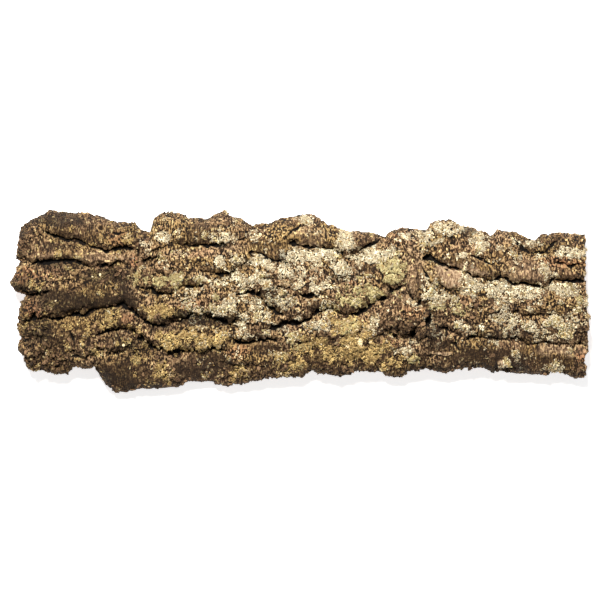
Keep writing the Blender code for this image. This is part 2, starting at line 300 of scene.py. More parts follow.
def outline_point(along, across):
    """The plan of the slab, from shares of its length and width: a grid stretched between its four edges."""
    front, back = from_photo(FRONT_EDGE), from_photo(BACK_EDGE)
    broken, sawn = from_photo(BROKEN_END), from_photo(SAWN_END)
    first_x = (front[0][0] + back[0][0]) / 2
    last_x = (front[-1][0] + back[-1][0]) / 2
    straight_x = first_x + along * (last_x - first_x)
    x = straight_x
    # The edges cross at the corners, so the place along one pair follows from the other pair in a few rounds.
    for _ in range(OUTLINE_ROUNDS):
        front_y, front_wiggle = edge_run(x, front, 0)
        back_y, back_wiggle = edge_run(x, back, 0)
        y = front_y * (1 - across) + back_y * across
        y += front_wiggle * (1 - across) ** SIDE_FADE + back_wiggle * across**SIDE_FADE
        x = straight_x + (np.interp(y, *broken.T[::-1]) - first_x) * (1 - along) ** END_FADE
        x += (np.interp(y, *sawn.T[::-1]) - last_x) * along**END_FADE
    return x, y


def arch(x, y):
    """The curve that the trunk gives the slab: ARCH_RISE along the middle and 0 at the long edges."""
    share = np.clip(x / LENGTH + 0.5, 0, 1)
    half_width = np.interp(share, (0, 1), HALF_WIDTH_AT_ENDS)
    middle = np.interp(share, (0, 1), MIDDLE_AT_ENDS)
    return ARCH_RISE * (1 - ((y - middle) / half_width) ** 2)


def relief(x, y):
    """The height of the bark above the bottom of its fissures, with every edge rounded over."""
    height = RIDGE_HEIGHT * (1 - fissure_depth(x, y)) + swellings(x, y)
    for seed, (size, bump) in enumerate((BROAD_BUMPS, SMALL_BUMPS), SEED):
        height += bump * bumps(x, y, size, seed)
    height = np.maximum(height, 0)
    for points, reach in EDGES:
        gap = np.min([distance for distance, _, _ in along_line(x, y, from_photo(points))], axis=0)
        height *= 1 - rounded_fall(gap / reach, 2)
    return height


# Fine bark: cells of its grid along X, Y and Z, and the triangles that it keeps.
BARK_CELLS = (680, 224, 10)
BARK_TRIANGLES = 194_000

# Small seeded fissures between the large ones: how many, their lengths in pixels and their strengths.
SMALL_FISSURES = 210
SMALL_LENGTHS = (9, 40)
SMALL_STRENGTHS = (0.12, 0.30)

# Rough relief in octaves: size of the largest bumps, their height and the number of octaves.
ROUGHNESS = (0.0090, 0.0011, 4)
CRUST_LUMPS = (0.0032, 0.0009, 3)
RUBBLE = (0.0075, 0.0028, 3)
GRAIN = (0.0019, 0.00032, 2)
GRAIN_LENGTH = 9.0
CRACKS = (0.0180, 0.0017, 3)
CRACK_NARROWNESS = 0.055
WARP = (0.006, 0.0018)
FINE_LEAN = 0.45
FRAY = (0.0065, 0.0010, 3)

# The dark line of painted shade at the bottom of a deep, a middling and a shallow fissure, which is also cut
# into the bark: half its width, how softly it ends and how deep it cuts.
CORE_HALF_WIDTHS = (0.0012, 0.0009, 0.0007)
CORE_SOFTNESS = 0.0009
CORE_DEPTH = 0.0030

# Where the bark is broken into rubble: middle and half-sizes in pixels of the photograph, and strength.
RUBBLE_PLACES = [
    ((112, 273), (22, 9), 1.0),
    ((46, 358), (24, 15), 1.0),
    ((90, 345), (26, 8), 0.8),
    ((137, 243), (9, 12), 0.8),
    ((150, 268), (12, 9), 0.7),
    ((33, 228), (12, 16), 0.7),
    ((22, 250), (7, 22), 0.7),
    ((48, 300), (9, 12), 0.7),
    ((30, 330), (12, 8), 0.8),
    ((222, 218), (16, 8), 0.8),
    ((240, 235), (16, 9), 0.7),
    ((283, 287), (13, 6), 1.0),
    ((400, 320), (24, 22), 0.8),
    ((400, 238), (14, 7), 0.8),
    ((455, 310), (18, 13), 0.7),
    ((500, 303), (40, 7), 0.8),
    ((350, 335), (24, 14), 0.7),
    ((250, 370), (40, 9), 0.7),
    ((175, 370), (14, 12), 0.8),
    ((535, 240), (18, 7), 0.8),
    ((470, 235), (16, 9), 0.7),
    ((560, 366), (26, 8), 0.7),
    ((350, 372), (40, 6), 0.8),
]
# Bare faces where the bark is smoother, with a fine grain across them.
BARE_FACES = [
    ((80, 230), (34, 16)),
    ((84, 255), (50, 8)),
    ((45, 250), (18, 12)),
    ((92, 298), (46, 14)),
    ((75, 333), (22, 14)),
    ((120, 322), (14, 8)),
    ((126, 376), (34, 15)),
    ((203, 236), (20, 13)),
    ((182, 285), (26, 6)),
    ((270, 249), (22, 10)),
    ((308, 238), (18, 11)),
    ((365, 244), (15, 9)),
    ((368, 269), (13, 6)),
    ((203, 366), (24, 14)),
    ((264, 347), (18, 6)),
    ((468, 261), (32, 16)),
    ((524, 274), (26, 13)),
    ((562, 272), (14, 9)),
    ((452, 276), (25, 12)),
    ((532, 292), (14, 6)),
    ((510, 355), (74, 15)),
    ((418, 277), (15, 15)),
    ((344, 304), (36, 6)),
    ((260, 309), (8, 9)),
    ((402, 305), (12, 12)),
]
# Holes, or lumps with a minus: middle and half-sizes in pixels, and depth in metres.
HOLES = [
    ((74, 352), (3, 3), 0.006),
    ((101, 228), (3, 3), 0.004),
    ((108, 217), (5, 2), 0.004),
    ((175, 354), (8, 4), 0.007),
    ((185, 295), (3, 3), 0.004),
    ((204, 304), (3, 3), 0.004),
    ((226, 289), (5, 3), 0.004),
    ((252, 254), (3, 3), 0.004),
    ((294, 242), (5, 3), 0.0035),
    ((333, 262), (5, 3), 0.005),
    ((331, 340), (7, 3), 0.004),
    ((428, 258), (5, 3), 0.004),
    ((428, 323), (4, 5), 0.006),
    ((403, 313), (3, 3), 0.003),
    ((401, 334), (11, 4), 0.004),
    ((520, 252), (3, 9), 0.004),
    ((468, 310), (4, 3), 0.004),
    ((495, 300), (6, 3), 0.004),
    ((546, 304), (3, 2), 0.003),
    ((150, 268), (4, 4), 0.004),
    ((505, 368), (8, 2), 0.004),
    ((57, 366), (7, 2), 0.004),
    ((503, 361), (6, 4), -0.0030),
    ((441, 353), (12, 2), -0.0015),
    ((203, 261), (5, 2), 0.003),
    ((173, 270), (5, 2), 0.004),
    ((282, 288), (9, 2), 0.004),
    ((310, 296), (9, 2), 0.004),
]
# Where the dark line of painted shade at the bottom of a fissure fades, with its cut: middle, half-sizes in
# pixels and how much.
FAINT_LINES = [
    ((532, 342), (72, 9), 0.7),
    ((29, 240), (6, 17), 1.0),
    ((43, 238), (6, 12), 0.7),
    ((80, 279), (20, 6), 0.7),
    ((432, 350), (6, 10), 0.8),
    ((335, 282), (10, 8), 0.7),
    ((552, 268), (5, 10), 0.8),
    ((452, 290), (14, 6), 0.7),
    ((230, 244), (8, 5), 0.6),
    ((520, 313), (34, 5), 0.6),
    ((118, 351), (26, 5), 0.5),
    ((80, 242), (34, 8), 0.35),
    ((58, 263), (30, 5), 0.2),
]
# Darker and paler bark: partly its own tone, partly painted shade in recesses and under ridges and lumps, and
# in places painted light over shadow: middle and half-sizes in pixels, and how much, from -1 to 1.
TONES_AND_SHADE = [
    ((48, 218), (34, 9), -0.65),
    ((58, 254), (14, 8), -0.25),
    ((98, 277), (20, 7), -0.45),
    ((80, 232), (50, 14), -0.15),
    ((62, 266), (24, 8), -0.50),
    ((80, 300), (75, 100), -0.20),
    ((195, 318), (42, 6), -0.60),
    ((36, 293), (12, 4), -0.80),
    ((38, 330), (18, 12), -0.50),
    ((130, 290), (14, 14), -0.30),
    ((376, 266), (12, 6), -0.35),
    ((350, 280), (10, 6), -0.25),
    ((432, 336), (14, 12), -0.40),
    ((140, 350), (26, 16), -0.20),
    ((280, 300), (16, 8), -0.25),
    ((22, 282), (14, 10), -0.40),
    ((75, 300), (50, 10), -0.45),
    ((128, 300), (14, 12), -0.30),
    ((50, 345), (34, 24), -0.10),
    ((130, 378), (36, 12), -0.30),
    ((204, 365), (26, 14), -0.60),
    ((265, 347), (18, 7), -0.35),
    ((185, 317), (26, 5), -0.30),
    ((215, 322), (26, 5), -0.25),
    ((480, 357), (44, 13), -0.45),
    ((112, 273), (22, 8), -0.45),
    ((330, 370), (40, 6), -0.30),
    ((432, 325), (14, 12), -0.40),
    ((395, 333), (18, 6), -0.30),
    ((22, 246), (7, 19), -0.50),
    ((540, 246), (30, 6), -0.25),
    ((455, 275), (26, 10), 0.85),
    ((532, 291), (20, 6), 0.40),
    ((522, 272), (26, 11), 0.25),
    ((560, 348), (28, 7), 0.45),
    ((510, 345), (16, 6), 0.20),
    ((202, 236), (20, 11), -0.35),
    ((274, 298), (16, 9), -0.40),
    ((308, 238), (18, 11), 0.20),
    ((190, 254), (30, 6), 0.30),
    ((235, 250), (16, 5), 0.25),
    ((305, 247), (20, 4), 0.25),
    ((415, 270), (12, 20), 0.25),
    ((412, 250), (8, 9), 0.30),
    ((352, 234), (10, 5), 0.35),
    ((395, 295), (14, 10), 0.20),
    ((365, 243), (14, 8), -0.25),
    ((100, 326), (40, 8), 0.10),
    ((90, 257), (40, 6), 0.45),
    ((75, 275), (40, 8), 0.10),
    ((480, 305), (30, 8), 0.15),
    ((108, 217), (9, 4), -0.80),
    ((68, 303), (36, 8), -0.25),
    ((469, 232), (8, 4), -0.90),
    ((505, 332), (26, 5), -0.30),
    ((294, 241), (7, 4), -0.60),
    ((503, 360), (5, 3), 1.20),
    ((441, 353), (12, 2), 0.90),
    ((45, 256), (14, 4), 0.40),
    ((160, 314), (14, 5), 0.40),
    ((505, 367), (18, 4), -0.90),
    ((48, 246), (10, 5), -0.25),
    ((282, 258), (10, 5), -0.40),
    ((505, 325), (14, 20), -0.20),
    ((556, 368), (12, 5), -0.30),
    ((135, 350), (16, 8), -0.20),
    ((165, 329), (16, 4), -0.30),
    ((105, 380), (10, 10), -0.25),
    ((346, 328), (12, 9), 0.40),
    ((282, 330), (14, 4), -0.30),
    ((85, 366), (14, 4), 0.30),
    ((33, 286), (12, 5), -0.25),
    ((124, 338), (16, 10), -0.30),
    ((192, 304), (16, 9), -0.20),
    ((185, 327), (40, 4), -0.25),
    ((272, 252), (22, 8), -0.30),
    ((322, 306), (16, 5), -0.40),
    ((342, 276), (12, 8), -0.30),
    ((464, 265), (14, 6), -0.35),
    ((492, 311), (14, 5), -0.30),
    ((490, 341), (26, 4), -0.30),
    ((412, 338), (8, 4), -0.40),
    ((430, 368), (24, 4), -0.45),
    ((160, 355), (10, 6), -0.30),
    ((278, 360), (16, 12), -0.30),
    ((130, 387), (30, 4), -0.30),
    ((535, 240), (26, 5), -0.20),
]

# Lichens: kind, middle and half-sizes in pixels, and how closely they cover the bark.
LICHEN_PATCHES = [
    ("cream", (162, 238), (9, 6), 1.0),
    ("cream", (161, 218), (8, 7), 0.7),
    ("cream", (181, 232), (8, 8), 0.6),
    ("cream", (228, 241), (13, 8), 0.95),
    ("cream", (268, 233), (30, 6), 0.45),
    ("cream", (222, 263), (18, 8), 0.75),
    ("cream", (254, 282), (12, 5), 0.9),
    ("cream", (266, 264), (20, 7), 0.85),
    ("cream", (272, 277), (32, 11), 0.5),
    ("cream", (216, 282), (18, 9), 0.85),
    ("cream", (165, 300), (16, 7), 0.55),
    ("cream", (170, 267), (24, 5), 0.5),
    ("cream", (225, 308), (18, 11), 0.6),
    ("cream", (250, 312), (20, 18), 0.50),
    ("cream", (312, 255), (30, 9), 0.95),
    ("cream", (348, 241), (11, 14), 1.1),
    ("cream", (308, 272), (26, 12), 0.80),
    ("cream", (342, 270), (11, 9), 0.9),
    ("cream", (366, 255), (26, 9), 1.0),
    ("cream", (322, 291), (18, 7), 0.6),
    ("cream", (318, 328), (20, 8), 0.95),
    ("cream", (294, 336), (11, 11), 0.7),
    ("cream", (375, 324), (6, 8), 1.0),
    ("cream", (404, 349), (12, 8), 0.75),
    ("cream", (410, 238), (17, 9), 0.85),
    ("cream", (446, 228), (24, 8), 0.80),
    ("cream", (482, 239), (11, 8), 0.85),
    ("cream", (461, 255), (7, 5), 0.9),
    ("cream", (434, 301), (19, 9), 0.95),
    ("cream", (491, 287), (24, 10), 1.1),
    ("cream", (516, 300), (10, 6), 0.9),
    ("cream", (524, 292), (24, 8), 0.95),
    ("cream", (560, 290), (24, 9), 0.9),
    ("cream", (566, 316), (18, 18), 0.42),
    ("cream", (525, 243), (14, 7), 0.8),
    ("cream", (570, 254), (13, 6), 0.9),
    ("cream", (497, 256), (9, 10), 0.6),
    ("cream", (543, 263), (6, 13), 0.7),
    ("cream", (511, 321), (9, 8), 0.85),
    ("cream", (530, 329), (8, 9), 0.80),
    ("cream", (545, 316), (10, 6), 0.5),
    ("cream", (462, 320), (14, 9), 0.5),
    ("cream", (447, 349), (9, 4), 0.6),
    ("cream", (552, 367), (30, 6), 0.45),
    ("cream", (312, 219), (14, 5), 0.8),
    ("cream", (148, 248), (9, 9), 0.55),
    ("cream", (108, 258), (28, 5), 0.3),
    ("cream", (250, 290), (100, 60), 0.46),
    ("cream", (585, 306), (5, 30), 0.8),
    ("cream", (490, 300), (100, 60), 0.42),
    ("green", (395, 275), (13, 15), 1.05),
    ("green", (360, 297), (27, 10), 0.70),
    ("green", (346, 328), (11, 9), 0.90),
    ("green", (438, 306), (14, 7), 0.70),
    ("green", (172, 280), (30, 7), 0.6),
    ("green", (138, 281), (12, 7), 0.35),
    ("green", (212, 298), (10, 9), 0.6),
    ("green", (452, 310), (20, 9), 0.5),
    ("green", (566, 300), (16, 14), 0.3),
    ("green", (297, 342), (12, 10), 0.55),
    ("green", (410, 362), (14, 6), 0.6),
    ("olive", (160, 311), (20, 10), 0.90),
    ("olive", (182, 341), (42, 11), 0.85),
    ("olive", (222, 338), (14, 8), 0.5),
    ("olive", (347, 332), (20, 17), 1.10),
    ("olive", (346, 351), (44, 13), 0.95),
    ("olive", (312, 338), (20, 12), 0.85),
    ("olive", (240, 374), (20, 9), 0.85),
    ("olive", (393, 361), (18, 8), 0.80),
    ("olive", (163, 371), (12, 13), 0.80),
    ("olive", (118, 242), (15, 6), 0.65),
    ("olive", (112, 320), (14, 9), 0.45),
    ("olive", (138, 328), (18, 12), 0.45),
    ("olive", (118, 344), (24, 7), 0.35),
    ("olive", (142, 360), (14, 6), 0.5),
    ("olive", (138, 379), (18, 8), 0.35),
    ("olive", (290, 362), (32, 10), 0.60),
    ("olive", (85, 300), (75, 85), 0.24),
]
# Each kind's lobes: their number, length in metres and colours from the base of a lobe to its rim.
LICHEN_KINDS = {
    "cream": {"lobes": 10800, "length": 0.0021, "base": (176, 148, 104), "rim": (255, 251, 222)},
    "green": {"lobes": 6600, "length": 0.0021, "base": (138, 120, 72), "rim": (238, 226, 168)},
    "olive": {"lobes": 7600, "length": 0.0020, "base": (124, 97, 54), "rim": (230, 200, 134)},
}
# The crust between the lobes, from the painted shade of its pits to the painted light of its crests.
CRUST_COLOURS = {
    "cream": ((18, 11, 6), (106, 81, 52), (212, 188, 144), (255, 248, 216)),
    "green": ((22, 15, 8), (98, 80, 46), (192, 172, 120), (242, 230, 174)),
    "olive": ((20, 13, 7), (98, 74, 40), (176, 146, 90), (232, 204, 138)),
}
THALLUS_LOBES = 60
CLUMP_SIZE = 0.0030
FINGERS = (-30, 28)

# Loose bits of bark: how many, half their sizes in metres, how flat they are and how far they tip.
BITS = {
    "crumbs": {"count": 5200, "half": (0.0005, 0.0021), "flatness": (0.4, 0.9), "tip": 0.2},
    "flakes": {"count": 900, "half": (0.0015, 0.0036), "flatness": (0.12, 0.25), "tip": 0.55},
}

# Warm spots of bare orange and pink cork: middle, half-sizes in pixels and strength.
WARM_SPOTS = [
    ((26, 276), (12, 8), 0.7),
    ((34, 308), (8, 10), 0.7),
    ((52, 273), (10, 6), 0.35),
    ((135, 262), (4, 5), 0.8),
    ((130, 318), (6, 5), 0.5),
    ((118, 240), (10, 7), 0.4),
    ((579, 354), (5, 9), 0.8),
    ((400, 238), (12, 6), 0.5),
    ((350, 282), (6, 4), 0.6),
    ((200, 254), (14, 5), 0.5),
    ((195, 305), (14, 6), 0.6),
    ((240, 352), (12, 7), 0.5),
    ((410, 312), (10, 8), 0.4),
    ((387, 342), (8, 5), 0.5),
    ((560, 262), (24, 5), 0.5),
    ((465, 300), (14, 6), 0.4),
]

CAMERA_HEIGHT = 2.6
PHOTO_SIZE = 600


def box_grid(cells):
    """A box from 0 to 1 each way whose faces are cut into a grid."""
    box = bmesh.new()
    bmesh.ops.create_cube(box, size=1, matrix=Matrix.Translation((0.5, 0.5, 0.5)))
    for axis, count in enumerate(cells):
        along = [edge for edge in box.edges if abs((edge.verts[1].co - edge.verts[0].co)[axis]) > 0.5]
        bmesh.ops.subdivide_edges(box, edges=along, cuts=count - 1, use_grid_fill=True)
    bmesh.ops.triangulate(box, faces=box.faces)
    mesh = bpy.data.meshes.new("bark")
    box.to_mesh(mesh)
    box.free()
    return mesh


def read(collection, name, width):
    values = np.empty(len(collection) * width, np.float32)
    collection.foreach_get(name, values)
    return values.reshape(-1, width).astype(float)


def write_attribute(mesh, name, values):
    attribute = mesh.attributes.new(name, "FLOAT", "POINT")
    attribute.data.foreach_set("value", np.asarray(values, np.float32))


def bark_form(share):
    """The slab's form as in the solid, its plan before the ridges lean, and how deep in a fissure it is."""
    along, across, up = share.T
    x, y = outline_point(along, across)
    height = relief(x, y)
    belly = arch(x, y) + BELLY_BUMPS[1] * bumps(x, y, BELLY_BUMPS[0], SEED + 2)
    z = belly + up * (THINNEST + height)
    middle = np.interp(np.clip(x / LENGTH + 0.5, 0, 1), (0, 1), MIDDLE_AT_ENDS)
    crevice = fissure_depth(x, y) * up
    plan = np.column_stack([x, y])
    y = middle + (y - middle) * (BELLY_WIDTH + (1 - BELLY_WIDTH) * up) - LEAN * height * up
    rough = EDGE_BUMPS[1] * bumps(x + 3 * z, y + 5 * z, EDGE_BUMPS[0], SEED + 3)
    rough *= 4 * up * (1 - up)
    y += rough * np.where(across == 0, -1, np.where(across == 1, 1, 0))
    x += rough * np.where(along == 0, -1, 0)
    return np.column_stack([x, y, z]), plan, crevice


def octaves(x, y, size, count, seed):
    """Seeded unevenness in several sizes, each about half the size and height of the one before."""
    total, height = np.zeros_like(x), 1.0
    for number in range(count):
        total += height * bumps(x, y, size, seed + number)
        size *= 0.53
        height *= 0.58
    return total


def lumps(x, y, size, count, seed):
    """Like octaves, but as rounded lumps with sharp dents between them."""
    total, height = np.zeros_like(x), 1.0
    for number in range(count):
        total += height * (2.2 * np.abs(bumps(x, y, size, seed + number)) - 0.7)
        size *= 0.56
        height *= 0.62
    return total


def patchy(x, y, size, seed, share):
    """A soft mask between 0 and 1 that covers about a share of the bark."""
    return np.clip((octaves(x, y, size, 3, seed) + 2 * share - 1) * 2.5 + 0.5, 0, 1)


def ridge_slope(place):
    """The slope of the nearest stretch of a large fissure, along which the bark is layered."""
    best, slope = np.inf, 0.0
    for points in DEEP_FISSURES + MIDDLING_FISSURES:
        line = np.array(points, float)
        for number, (distance, _, _) in enumerate(along_line(place[:1], place[1:], line)):
            if distance[0] < best:
                run, rise = line[number + 1] - line[number]
                best, slope = distance[0], np.clip(rise / (abs(run) + 1), -1, 1) * np.sign(run)
    return slope


def small_fissures(x, y):
    """How deep the small fissures cut at each point; they run beside the large ones."""
    draw = np.random.default_rng(SEED + 40)
    depth = np.zeros_like(x)
    for _ in range(SMALL_FISSURES):
        place = draw.uniform((14, 212), (586, 390))
        steps = max(3, int(draw.uniform(*SMALL_LENGTHS) / 6))
        slope = ridge_slope(place) + draw.normal(0, 0.15)
        points = [place]
        for _ in range(steps):
            points.append(points[-1] + (6, 6 * slope + draw.normal(0, 2.2)))
        carve_one(x, y, points, draw.uniform(*SMALL_STRENGTHS), depth)
    return depth


def fissure_cores(x, y):
    """How surely each point lies in the dark line of painted shade at the bottom of a fissure, from 0 to 1."""
    cores = np.zeros_like(x)
    x, y = wandering(x, y)
    y = y + 0.0007 * octaves(x, y, 0.0050, 2, SEED + 46)
    uneven = np.clip(1 + 0.9 * octaves(x, y, 0.0120, 3, SEED + 45), 0.2, 2)
    for half_width, fissures in zip(CORE_HALF_WIDTHS, (DEEP_FISSURES, MIDDLING_FISSURES, SHALLOW_FISSURES)):
        for points in fissures:
            for distance, _, from_tip in along_line(x, y, from_photo(points)):
                half = half_width * uneven * np.clip(0.3 + from_tip / FISSURE_TAPER, 0, 1)
                cores = np.maximum(cores, np.clip((half - distance) / CORE_SOFTNESS + 0.5, 0, 1))
    return cores


def fine_relief(points, plan, seen, share, crevice, core, riser, crust):
    """How far each point stands out along its normal: small fissures, lumps, rubble, grain and cracks."""
    x, y, z = points.T
    wall = 1 - share[:, 2] ** 4
    u = x + 0.7 * z * wall
    v = y + 0.9 * z * wall
    size, warp = WARP
    u, v = u + warp * octaves(u, v, size, 2, SEED + 60), v + warp * octaves(u, v, size, 2, SEED + 63)

    bare = spots(seen, [(place, half_sizes, 1) for place, half_sizes in BARE_FACES]) * (1 - 0.6 * crust)
    size, height, count = ROUGHNESS
    total = height * (1 - 0.65 * bare) * octaves(u, v, size, count, SEED + 10)
    size, height, count = CRUST_LUMPS
    rim = np.minimum(1, 12 * np.minimum(share[:, 1], 1 - share[:, 1]))
    total += height * (1 - 0.75 * bare) * (0.4 + 0.6 * rim) * lumps(u, v, size, count, SEED + 15)
    size, height, count = RUBBLE
    rubble = np.maximum(spots(seen, RUBBLE_PLACES), 0.5 * patchy(u, v, 0.024, SEED + 19, 0.35))
    rubble = rubble * share[:, 2] ** 2 * (1 - bare) * rim
    total += height * rubble * lumps(u, v * 1.3, size, count, SEED + 24)
    size, height, count = GRAIN
    grain = octaves(plan[:, 0] + 0.2 * (u - x), v / GRAIN_LENGTH, size, count, SEED + 28)
    uneven = 0.35 + 0.65 * patchy(u, v, 0.011, SEED + 29, 0.5)
    total += height * np.maximum(bare, 0.6 * riser) * (1 - rubble) * rim * uneven * grain
    size, height, count = CRACKS
    line = octaves(u, v / 1.6, size, count, SEED + 32) / CRACK_NARROWNESS
    total -= height * np.exp(-(line**2)) * patchy(u, v, 0.012, SEED + 36, 0.45) * (1 - 0.8 * bare)

    total -= RIDGE_HEIGHT * small_fissures(plan[:, 0], plan[:, 1]) * (1 - 0.8 * bare) * share[:, 2]
    for near, depth in nearness(seen, HOLES):
        total -= depth * near**1.5 * share[:, 2]
    total *= 1 - 0.7 * np.clip((crevice - 0.55) / 0.3, 0, 1)
    total -= CORE_DEPTH * core
    total *= np.where(share[:, 2] < 1, 0.45, 1)
    total[share[:, 2] == 0] *= 0.5
    total[(share[:, 0] == 1) & (share[:, 2] < 1)] *= 0.3
    return total, bare


def frayed(points, share):
    """How far the broken rim strays in plan, out of the slab or into it."""
    x, y, z = points.T
    size, height, count = FRAY
    stray = height * octaves(x + 0.5 * z, y + 0.5 * z, size, count, SEED + 48) * share[:, 2]
    across = 2 * share[:, 1] - 1
    end = 1 - 2 * share[:, 0]
    return np.column_stack([stray * np.clip(end, 0, 1) ** 150, stray * across**41])


def nearness(plan, places, softness=0.5):
    """For each place of a list: how surely each point lies in it, with a wavering edge, and its strength."""
    x, y = plan.T
    waver = 0.35 * bumps(x, y, 0.009, SEED + 30) + 0.25 * bumps(x, y, 0.004, SEED + 31)
    for place, half_sizes, strength in places:
        centre = from_photo([place])[0]
        half = np.array(half_sizes) * LENGTH / PHOTO_LENGTH
        away = np.hypot((x - centre[0]) / half[0], (y - centre[1]) / half[1]) + waver
        yield np.clip((1 + softness / 2 - away) / softness, 0, 1), strength


def spots(plan, places, softness=0.5):
    """How strongly each point of the plan lies in a list of places."""
    return np.max([near * strength for near, strength in nearness(plan, places, softness)], axis=0)


def tones(plan):
    """How much darker or paler than usual the bark is at each point: its own tone, with painted shade and
    painted light in places.
    """
    return np.sum([near * amount for near, amount in nearness(plan, TONES_AND_SHADE)], axis=0)


def lichen_cover(plan, kind):
    """How closely one kind of lichen covers each point, with bare gaps inside its patches."""
    patches = [(place, half, cover) for name, place, half, cover in LICHEN_PATCHES if name == kind]
    gaps = octaves(*plan.T, 0.0085, 4, SEED + 70)
    return np.clip(1.5 * spots(plan, patches, 0.9) - 0.55 + 0.80 * gaps, 0, 1)


def softened(grid, rounds):
    for _ in range(rounds):
        wide = np.pad(grid, 1, mode="edge")
        around = wide[:-2, 1:-1] + wide[2:, 1:-1] + wide[1:-1, :-2] + wide[1:-1, 2:]
        grid = (around + 2 * grid) / 6
    return grid


def cavity_shading(total, share):
    """From 0 in the pits of the fine relief to 1 on its crests: painted shade in the pits and painted light on
    the crests.
    """
    top = np.flatnonzero(share[:, 2] == 1)
    at = tuple(np.rint(share[top, axis] * BARK_CELLS[axis]).astype(int) for axis in (0, 1))
    grid = np.zeros((BARK_CELLS[0] + 1, BARK_CELLS[1] + 1))
    grid[at] = total[top]
    near = softened(grid, 5)
    far = softened(near, 50)
    result = 0.5 + total / 0.003
    result[top] = 0.5 + (grid - near)[at] / 0.0009 + (near - far)[at] / 0.0040
    return np.clip(result, 0, 1)


def make_bark():
    """The bark itself, at the solid's form with its fine relief, and the ground that lichens grow on."""
    mesh = box_grid(BARK_CELLS)
    share = read(mesh.vertices, "co", 3)
    points, plan, crevice = bark_form(share)
    points[:, :2] -= (points[:, :2].max(axis=0) + points[:, :2].min(axis=0)) / 2
    mesh.vertices.foreach_set("co", points.astype(np.float32).ravel())
    normals = read(mesh.vertex_normals, "vector", 3)
    # Faces turned towards -Y, away from the key light; the bark material paints them with shade.
    riser = np.clip((0.10 - normals[:, 1]) / 0.45, 0, 1)
    seen = points[:, :2].copy()
    covers = {kind: lichen_cover(seen, kind) * (share[:, 2] == 1) for kind in LICHEN_KINDS}
    crust = np.max(list(covers.values()), axis=0)
    core = fissure_cores(*plan.T) * (1 - spots(seen, FAINT_LINES)) * share[:, 2]
    fine, bare = fine_relief(points, plan, seen, share, crevice, core, riser, crust)
    points += normals * fine[:, None]
    points[:, 1] -= FINE_LEAN * fine * share[:, 2]
    points[:, :2] += frayed(points, share)
    points[:, 2] = np.maximum(points[:, 2], 0)
    mesh.vertices.foreach_set("co", points.astype(np.float32).ravel())
    mesh.update()

    walls = (share[:, 0] == 0) | (share[:, 0] == 1) | (share[:, 1] == 0) | (share[:, 1] == 1)
    write_attribute(mesh, "crevice", crevice)
    write_attribute(mesh, "core", core)
    write_attribute(mesh, "riser", riser * (1 - 0.6 * crust))
    write_attribute(mesh, "bare", bare * (1 - crust))
    # Painted shade in the pits of the fine relief and painted light on its crests.
    write_attribute(mesh, "pit_shade_and_mottle", cavity_shading(fine, share))
    write_attribute(mesh, "wall", walls * (share[:, 2] < 1))
    write_attribute(mesh, "up", share[:, 2])
    write_attribute(mesh, "warm", spots(seen, WARM_SPOTS))
    # The bark's own darker and paler tone, with painted shade and painted light in places.
    tone = tones(seen)
    write_attribute(mesh, "tone", tone)
    write_attribute(mesh, "crusted", crust)
    for kind, cover in covers.items():
        write_attribute(mesh, "crust_" + kind, cover)

    bark = bpy.data.objects.new("bark", mesh)
    bpy.context.scene.collection.objects.link(bark)
    mesh.shade_smooth()
    fewer = bark.modifiers.new("fewer_faces", "DECIMATE")
    fewer.ratio = BARK_TRIANGLES / len(mesh.polygons)
    bark.data.materials.append(bark_material())
    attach(bark, "root")
    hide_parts("cork_bark_slab")

    on_top = share[:, 2] == 1
    beside_edge = np.minimum(share[:, 1], 1 - share[:, 1]) * BARK_CELLS[1]
    beside_end = share[:, 0] * BARK_CELLS[0]
    rubble = spots(seen, RUBBLE_PLACES) * (1 - bare)
    return {
        "points": points[on_top],
        "normals": normals[on_top],
        "crevice": crevice[on_top],
        "core": core[on_top],
        "riser": (riser * (1 - 0.6 * crust))[on_top],
        "crust": crust[on_top],
        "rubble": rubble[on_top],
        "tone": tone[on_top],
        "cells_to_edge": np.minimum(beside_edge, beside_end)[on_top],
        "covers": {kind: cover[on_top] for kind, cover in covers.items()},
    }


def lobe_template():
    """A small leaf with round fingers, as a thin closed body: its points, faces and how near its rim."""
    outline = [(0.0, -0.12)]
    for number, angle in enumerate(FINGERS):
        for turn, reach in ((-22, 0.78), (0, 1.0), (22, 0.78)):
            outline.append(on_ray(angle + turn, reach))
        if number < len(FINGERS) - 1:
            outline.append(on_ray((angle + FINGERS[number + 1]) / 2, 0.50))
    outline.append((0.0, 0.12))
    flat = np.array(outline)
    height = 0.10 * np.hypot(*flat.T) ** 2
    count = len(flat)
    top, bottom = (0.40, 0.0, 0.08), (0.40, 0.0, -0.14)
    points = np.vstack([np.column_stack([flat, height]), top, bottom])
    around = [(number, (number + 1) % count) for number in range(count)]
    faces = [(a, b, count) for a, b in around] + [(b, a, count + 1) for a, b in around]
    rim = np.append(np.clip(np.hypot(*flat.T), 0.1, 1), (0.35, 0.0))
    return points, np.array(faces), rim


def on_ray(degrees, reach):
    angle = np.radians(degrees)
    return (reach * np.cos(angle), reach * np.sin(angle))


def scattered_mesh(name, bodies, faces, places, axes, attributes):
    """One mesh of many small bodies with the same faces, each at its place and on its own axes."""
    moved = np.einsum("nki,nij->nkj", bodies, axes) + places[:, None, :]
    count, each = bodies.shape[:2]
    all_faces = (faces[None, :, :] + each * np.arange(count)[:, None, None]).reshape(-1, 3)
    mesh = bpy.data.meshes.new(name)
    mesh.from_pydata(moved.reshape(-1, 3), [], all_faces)
    for attribute, values in attributes.items():
        write_attribute(mesh, attribute, values)
    piece = bpy.data.objects.new(name, mesh)
    bpy.context.scene.collection.objects.link(piece)
    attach(piece, "root")
    return piece


def frame_axes(normals, directions):
    """For each place three axes as rows: along its direction, across it and out of the bark."""
    along = directions - normals * np.sum(directions * normals, axis=1, keepdims=True)
    along /= np.linalg.norm(along, axis=1, keepdims=True)
    return np.stack([along, np.cross(normals, along), normals], axis=1)


